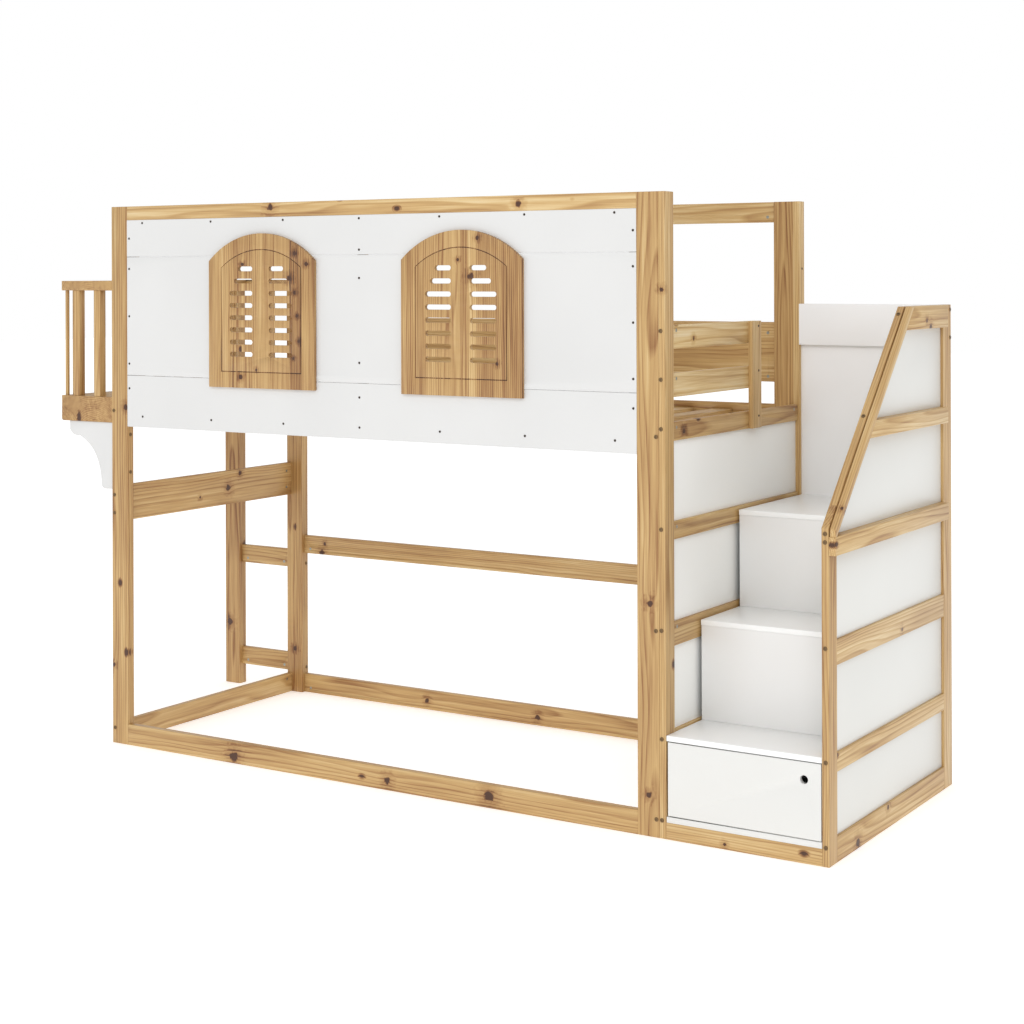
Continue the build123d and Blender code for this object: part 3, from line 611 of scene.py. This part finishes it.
for node, seams, tones, marks in (("left_shutter", left_seams, left_strip_tones, left_marks),
                                  ("right_shutter", right_seams, right_strip_tones, right_marks)):
    shutter = merged_copy(node, shutter_edge, shutter_least_edge)
    lay_grain(shutter, 0.5)
    shutter_pine = make_shutter_pine(node + " strips", node, seams, tones, marks)
    finish_piece(shutter, node, shutter_pine)


# Balcony: pine trim boards round a small floor of narrow boards on cleats, with square
# handrails and balusters above, and a white scroll bracket and a post with two rails below.
sawn_from_pine("balcony_trims", 0.58)
sawn_from_pine("balcony_floor_boards", 0.46)
sawn_from_pine("balcony_cleats", 0.50)
sawn_from_pine("balcony_handrails", 0.52)
sawn_from_pine("balusters", 0.50)
sawn_from_pine("support_post", 0.56)
sawn_from_pine("support_rails", 0.50)
sprayed_white("balcony_bracket", edge=0.0012, shortest=0.0010)


# Guards at the stair end: two planed pine boards, bolted to the front post of the stairs' inner
# side. An upright screwed to their other ends stands beside the entry gap.
sawn_from_pine("end_guards", 0.30)
sawn_from_pine("guard_post", 0.36)


# Side frames of the stairs: pine posts and rails on both sides, with two boards along the slope
# on the outer side. White sheets fill the spaces between the rails.
slope_low, slope_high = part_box("inner_slope_board")
slope_run = Vector((0.0, slope_high[1] - slope_low[1], slope_high[2] - slope_low[2])).normalized()
sawn_from_pine("inner_front_post", 0.52)
sawn_from_pine("inner_back_post", 0.44)
sawn_from_pine("inner_side_rails", 0.48)
sawn_from_pine("outer_front_post", 0.52)
sawn_from_pine("outer_back_post", 0.50)
sawn_from_pine("inner_slope_board", 0.50, run=slope_run)
sawn_from_pine("outer_slope_board", 0.46, run=slope_run)
sawn_from_pine("outer_side_rails", 0.45)
sawn_from_pine("outer_upper_rail", 0.45)
sawn_from_pine("outer_guard_rail", 0.45)
sawn_from_pine("outer_top_rail", 0.45)
# Painted light: the inner sheets get a much lighter copy of the white lacquer to make up for the shade they
# stand in, and the outer sheets a dimmer copy to offset the key lamp that falls on their sides.
sprayed_white("inner_side_panels", lacquer("white inner sheet lightened against shade", from_srgb(252, 253, 251)))
sprayed_white("outer_side_panels", lacquer("white outer sheet dimmed against lamp light", from_srgb(225, 225, 221)))


# Steps and cabinet: white boards, the treads on cleats, the risers between them, the cabinet's
# floor and the back panel. The front floor rail of the stairs is bare pine.
# Painted light: these parts get their own lighter copies of the white lacquer, to make up for the shade
# they stand in, and the treads, which face up, get the lightest.
shade_lightened_step_white = lacquer("white step lacquer lightened against shade", from_srgb(246, 246, 246))
shade_lightened_front_white = lacquer("white front lacquer lightened against shade", from_srgb(226, 226, 223))
for node in ("stair_cleats", "stair_back_panel", "stair_top_board", "door_stop"):
    sprayed_white(node, shade_lightened_step_white)
sprayed_white("stair_treads", lacquer("white tread lacquer lightened most against shade", from_srgb(251, 252, 252)))
sprayed_white("stair_risers", lacquer("white riser lacquer lightened against shade", from_srgb(238, 238, 237)))
sprayed_white("cabinet_floor", shade_lightened_front_white)
sawn_from_pine("stair_floor_rails", 0.50)


# Cabinet door: a white board with rounded front edges and a finger hole, which turns on two
# steel pins in the tread above and the floor below.
# The door has the front copy of the white lacquer, painted lighter against shade.
sprayed_white("cabinet_door", shade_lightened_front_white, edge=0.0008, shortest=0.0005, body="door")


# Fasteners: bronze bolts with shallow heads, dark countersunk screws, and round zinc nuts that
# are let into the rails from the inner side. The door's pins are plain zinc plated rods.
wear_tints = [(0.3, grey(0.70)), (0.7, grey(1.0))]
wear_spots = (240.0, 240.0, 240.0)
wear_roughness = 0.2
wear_relief = 0.0001


def make_metal_wear():
    """Uneven plating: patches in the colour and gloss of small metal parts."""
    group, start, end = new_group("Metal wear", [("Position", "Vector"), ("Tint", "Color"),
                                                 ("Gloss", "Float")])
    patch = stretched_noise(group, start.outputs["Position"], wear_spots, 3.0)
    dim = colour_steps(group, patch, wear_tints)
    tint = work_out_vector(group, "MULTIPLY", start.outputs["Tint"], dim)
    group.links.new(tint, end.inputs["Color"])
    roughness = add_share(group, start.outputs["Gloss"], patch, wear_roughness)
    group.links.new(roughness, end.inputs["Roughness"])
    group.links.new(patch, end.inputs["Height"])
    return group


metal_wear = make_metal_wear()


def plated(name, tint, roughness, metallic):
    """A plated metal finish."""
    material = plain_finish(name, tint, roughness)
    shader_of(material).inputs["Metallic"].default_value = metallic
    show_look(material, metal_wear, {"Position": place_on_piece(material.node_tree), "Tint": tint,
                                     "Gloss": roughness}, wear_relief)
    return material


bronze = plated("bronze plating", from_srgb(132, 108, 78), 0.32, 0.75)
dark_steel = plated("dark steel", from_srgb(74, 64, 56), 0.34, 0.7)
zinc = plated("zinc plating", from_srgb(176, 178, 168), 0.25, 0.8)
rim_share = 0.9


def ends_of(piece, towards_head):
    """The middle and the outward direction of each fastener's end, or of its head's face."""
    ends = []
    for numbers in boards_of(piece):
        places = numpy.array([piece.data.vertices[number].co for number in numbers])
        middle = places.mean(axis=0)
        spread, ways = numpy.linalg.eigh(numpy.cov((places - middle).T))
        axis = ways[:, spread.argmax()]
        along = (places - middle) @ axis
        centre = middle + axis * (along.max() + along.min()) / 2
        side = (places - centre) - numpy.outer((places - centre) @ axis, axis)
        far = numpy.linalg.norm(side, axis=1)
        rim = ((places - centre) @ axis)[far > far.max() * rim_share]
        if towards_head and rim.mean() < 0:
            axis = -axis
        reach = (along.max() - along.min()) / 2
        ends.append((Vector(centre + axis * reach), Vector(axis)))
        if not towards_head:
            ends.append((Vector(centre - axis * reach), Vector(-axis)))
    return ends


def cut_recesses(piece, ends, cutters, depth):
    """Cuts the same recess at each end of the fasteners. A cutter is its sides, length and width."""
    blocks = []
    for place, way in ends:
        turn = way.to_track_quat("Z", "Y").to_euler()
        for sides, length, width in cutters:
            bpy.ops.mesh.primitive_cylinder_add(vertices=sides, radius=1.0, depth=2 * depth, location=place,
                                                rotation=turn)
            cutter = bpy.context.object
            cutter.scale = (length, width, 1.0)
            blocks.append(cutter)
    bpy.ops.object.select_all(action="DESELECT")
    for block in blocks:
        block.select_set(True)
    bpy.context.view_layer.objects.active = blocks[0]
    bpy.ops.object.join()
    tool = bpy.context.object
    bpy.ops.object.transform_apply(location=True, rotation=True, scale=True)
    bpy.ops.object.select_all(action="DESELECT")
    cut = piece.modifiers.new("recesses", "BOOLEAN")
    cut.operation = "DIFFERENCE"
    cut.object = tool
    cut.solver = "EXACT"
    cut.use_self = len(cutters) > 1
    piece.select_set(True)
    bpy.context.view_layer.objects.active = piece
    bpy.ops.object.modifier_apply(modifier=cut.name)
    bpy.data.objects.remove(tool)
    bpy.ops.object.shade_smooth_by_angle(angle=smooth_turn)
    piece.select_set(False)


hexagon = [(6, 0.0023, 0.0023)]
cross = [(4, 0.0024, 0.0005), (4, 0.0005, 0.0024)]
slit = [(4, 0.0046, 0.0008)]
for node, material, slot, body, headed, cutters, depth in (
        ("frame_bolts", bronze, "dark_bolt", "bed", True, hexagon, 0.0014),
        ("small_screws", dark_steel, "dark_bolt", "bed", True, cross, 0.0006),
        ("barrel_nuts", zinc, "zinc", "bed", False, slit, 0.0012),
        ("door_pins", zinc, "zinc", "door", False, [], 0.0)):
    fasteners = merged_copy(node, 0.0, 0.0)
    if cutters:
        cut_recesses(fasteners, ends_of(fasteners, headed), cutters, depth)
    finish_piece(fasteners, node, material, body)
